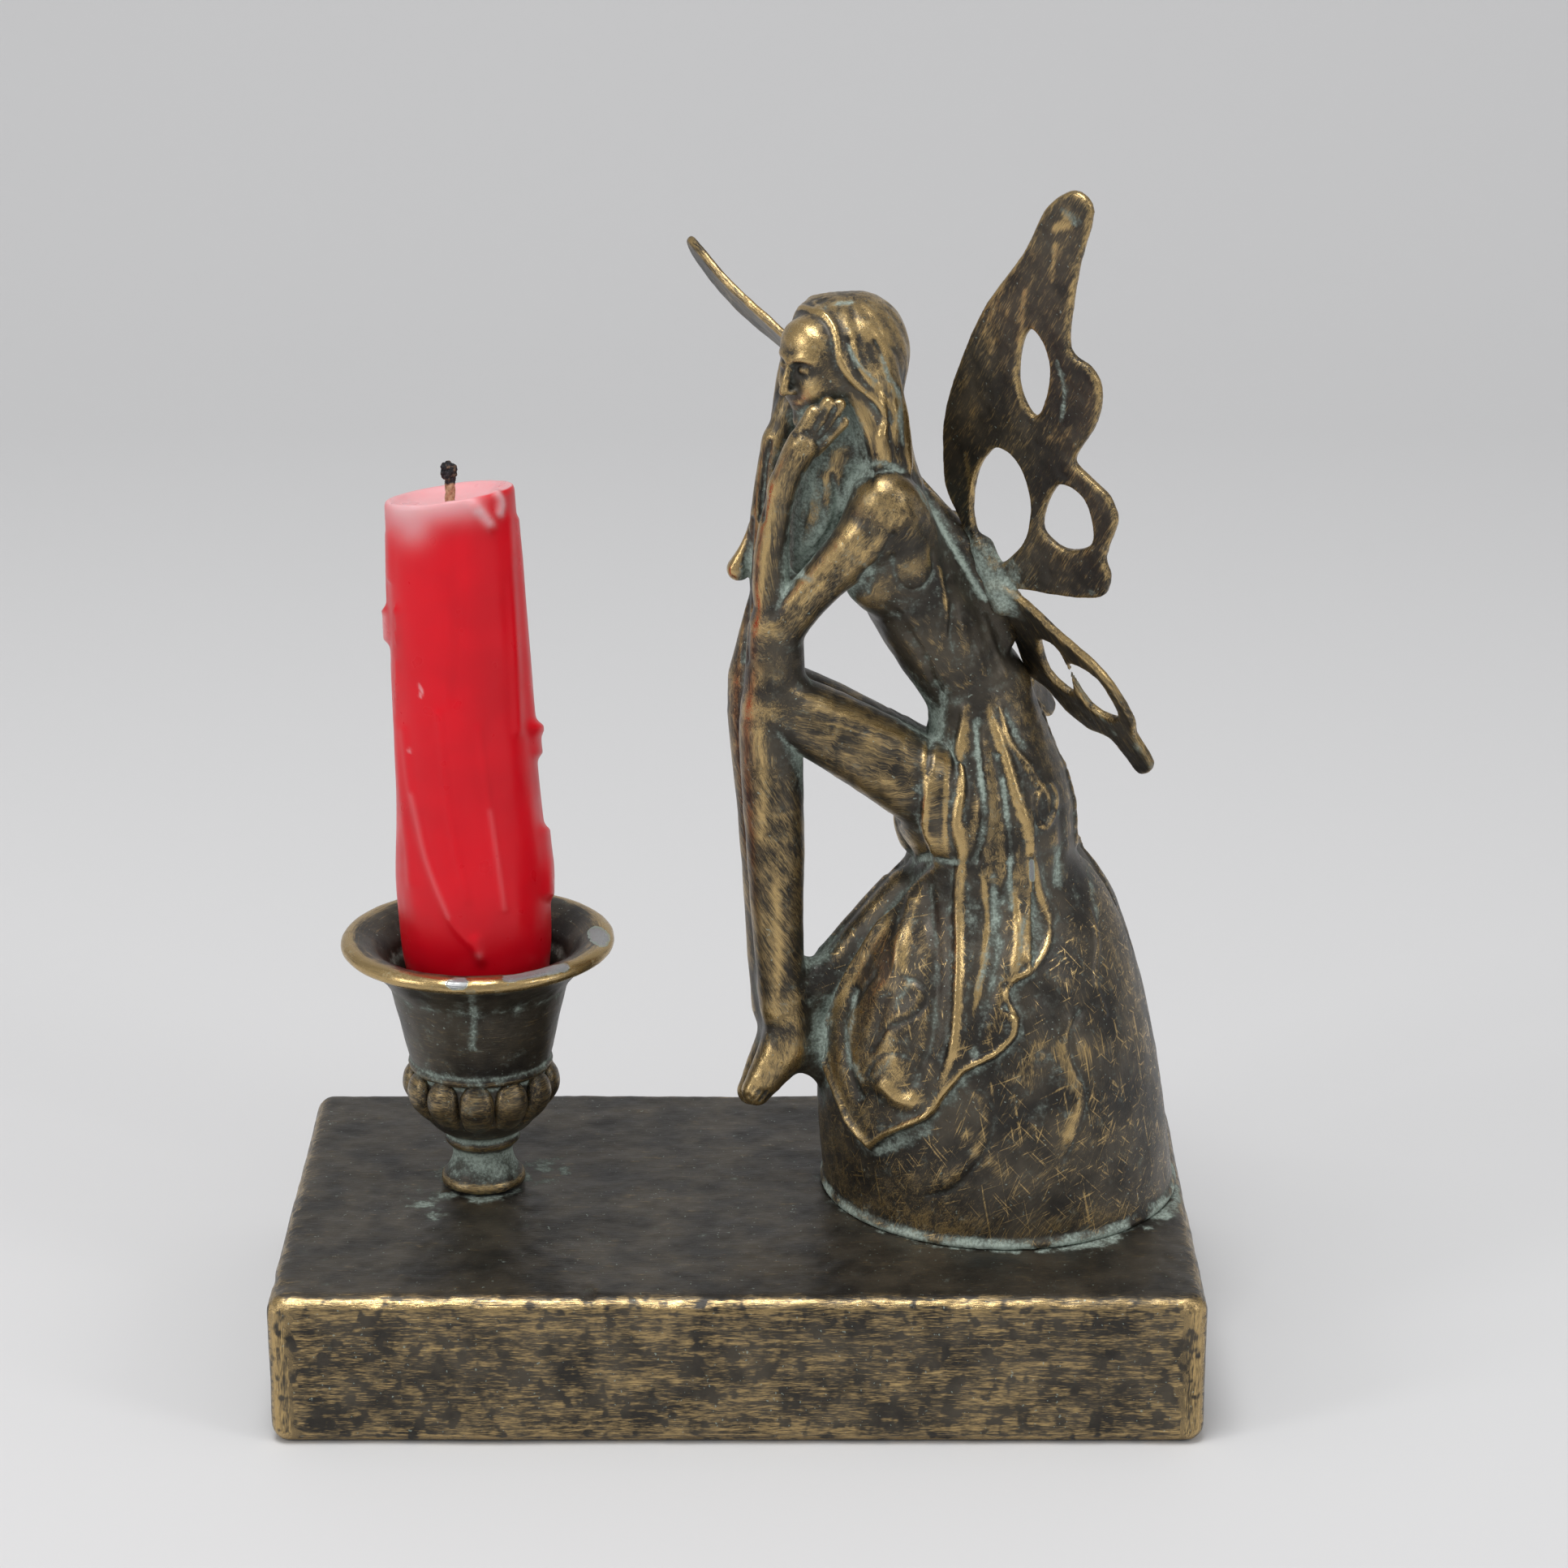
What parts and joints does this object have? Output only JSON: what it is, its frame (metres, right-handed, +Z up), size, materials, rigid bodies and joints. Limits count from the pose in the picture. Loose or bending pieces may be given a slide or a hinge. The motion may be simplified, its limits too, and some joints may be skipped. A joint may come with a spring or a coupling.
{
  "type": "candle holder",
  "caption": "Fairy candle holder: a winged fairy sits on a boulder beside an urn-shaped cup that holds a used red taper, both on a rectangular plinth.",
  "frame": {"origin": "centre of the plinth's underside", "axes": "+Z up, +X from the candle cup towards the figure, -Y towards the viewer in the picture"},
  "size_m": [0.1308, 0.0769, 0.1744],
  "materials": {
    "plinth_bronze": "antique bronze, brushed",
    "cup_bronze": "antique bronze, brushed",
    "figure_bronze": "antique bronze, rubbed, with verdigris in the hollows",
    "wing_left_bronze": "antique bronze, rubbed",
    "wing_right_bronze": "antique bronze, rubbed",
    "red_wax": "wax, half gloss",
    "charred_cotton": "burnt cord, matt"
  },
  "bodies": {
    "root": {"plinth": "plinth_bronze", "candle_cup": "cup_bronze", "fairy_on_rock": "figure_bronze", "wing_left": "wing_left_bronze", "wing_right": "wing_right_bronze", "candle": "red_wax", "wick": "charred_cotton"}
  },
  "joints": []
}
